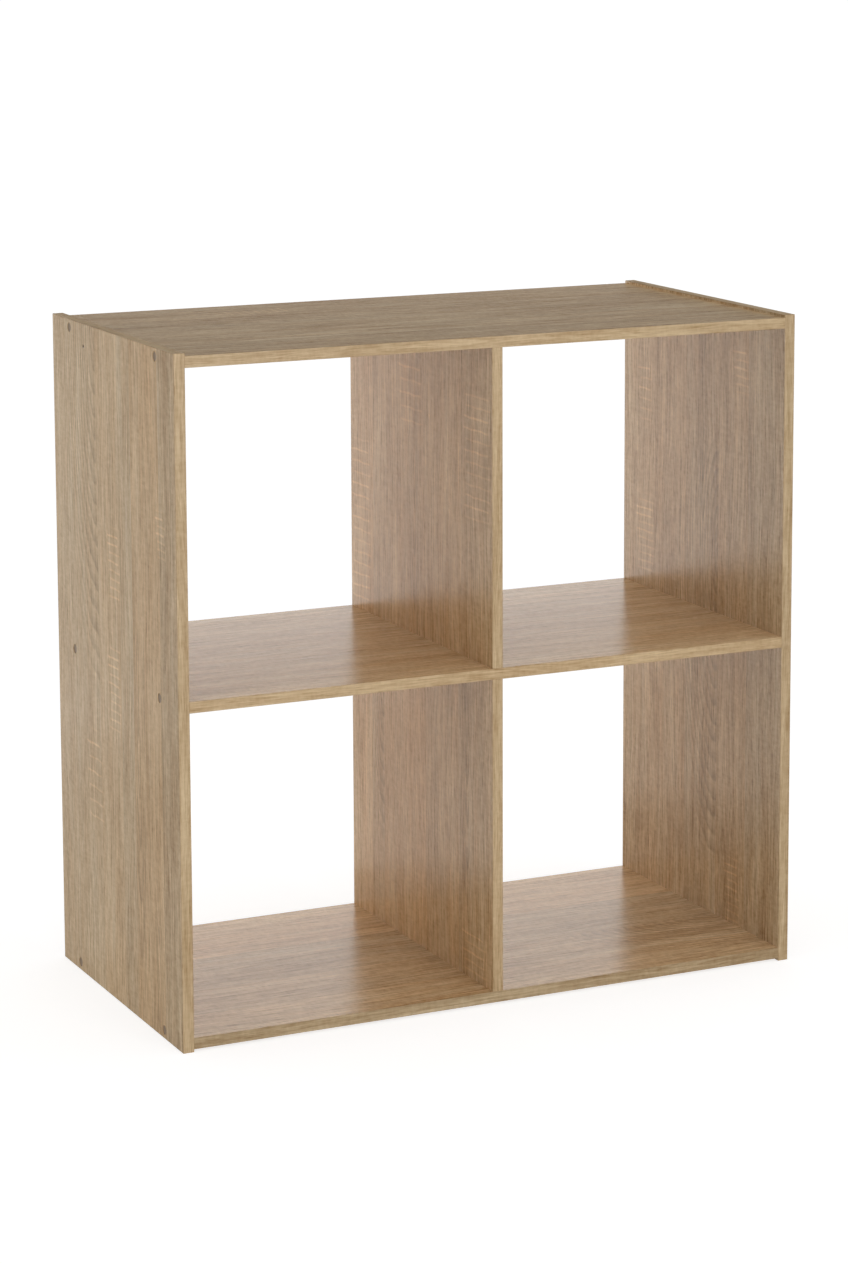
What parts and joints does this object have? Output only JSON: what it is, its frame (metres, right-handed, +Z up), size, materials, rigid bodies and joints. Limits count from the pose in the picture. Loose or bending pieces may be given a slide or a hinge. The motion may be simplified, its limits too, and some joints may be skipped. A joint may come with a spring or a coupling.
{
  "type": "cube storage unit",
  "caption": "Open storage unit with cube-shaped compartments in a square grid, made of light oak board with edge bands, screw caps and no back.",
  "frame": {"origin": "on the floor, under the middle of the unit", "axes": "+X to the unit's right as seen from the front, -Y towards the front, +Z up"},
  "size_m": [0.72, 0.368, 0.726],
  "materials": {
    "oak_board": "satin light oak decor on both faces",
    "oak_edge_band": "satin light oak decor, grain along the edge",
    "screw_steel": "zinc plated",
    "cap_plastic": "matte, oak colour",
    "dowel_beech": "raw beech"
  },
  "bodies": {
    "root": {"bottom_panel": "oak_board", "bottom_panel_back_band": "oak_edge_band", "bottom_panel_front_band": "oak_edge_band", "left_bottom_dowels": "dowel_beech", "left_bottom_screw_caps": "cap_plastic", "left_bottom_screws": "screw_steel", "left_middle_dowels": "dowel_beech", "left_middle_screw_caps": "cap_plastic", "left_middle_screws": "screw_steel", "left_side_back_band": "oak_edge_band", "left_side_bottom_band": "oak_edge_band", "left_side_front_band": "oak_edge_band", "left_side_panel": "oak_board", "left_side_top_band": "oak_edge_band", "left_top_dowels": "dowel_beech", "left_top_screw_caps": "cap_plastic", "left_top_screws": "screw_steel", "lower_divider": "oak_board", "lower_divider_back_band": "oak_edge_band", "lower_divider_bottom_dowels": "dowel_beech", "lower_divider_front_band": "oak_edge_band", "lower_divider_top_dowels": "dowel_beech", "middle_shelf": "oak_board", "middle_shelf_back_band": "oak_edge_band", "middle_shelf_front_band": "oak_edge_band", "right_bottom_dowels": "dowel_beech", "right_bottom_screw_caps": "cap_plastic", "right_bottom_screws": "screw_steel", "right_middle_dowels": "dowel_beech", "right_middle_screw_caps": "cap_plastic", "right_middle_screws": "screw_steel", "right_side_back_band": "oak_edge_band", "right_side_bottom_band": "oak_edge_band", "right_side_front_band": "oak_edge_band", "right_side_panel": "oak_board", "right_side_top_band": "oak_edge_band", "right_top_dowels": "dowel_beech", "right_top_screw_caps": "cap_plastic", "right_top_screws": "screw_steel", "top_panel": "oak_board", "top_panel_back_band": "oak_edge_band", "top_panel_front_band": "oak_edge_band", "upper_divider": "oak_board", "upper_divider_back_band": "oak_edge_band", "upper_divider_bottom_dowels": "dowel_beech", "upper_divider_front_band": "oak_edge_band", "upper_divider_top_dowels": "dowel_beech"}
  },
  "joints": []
}
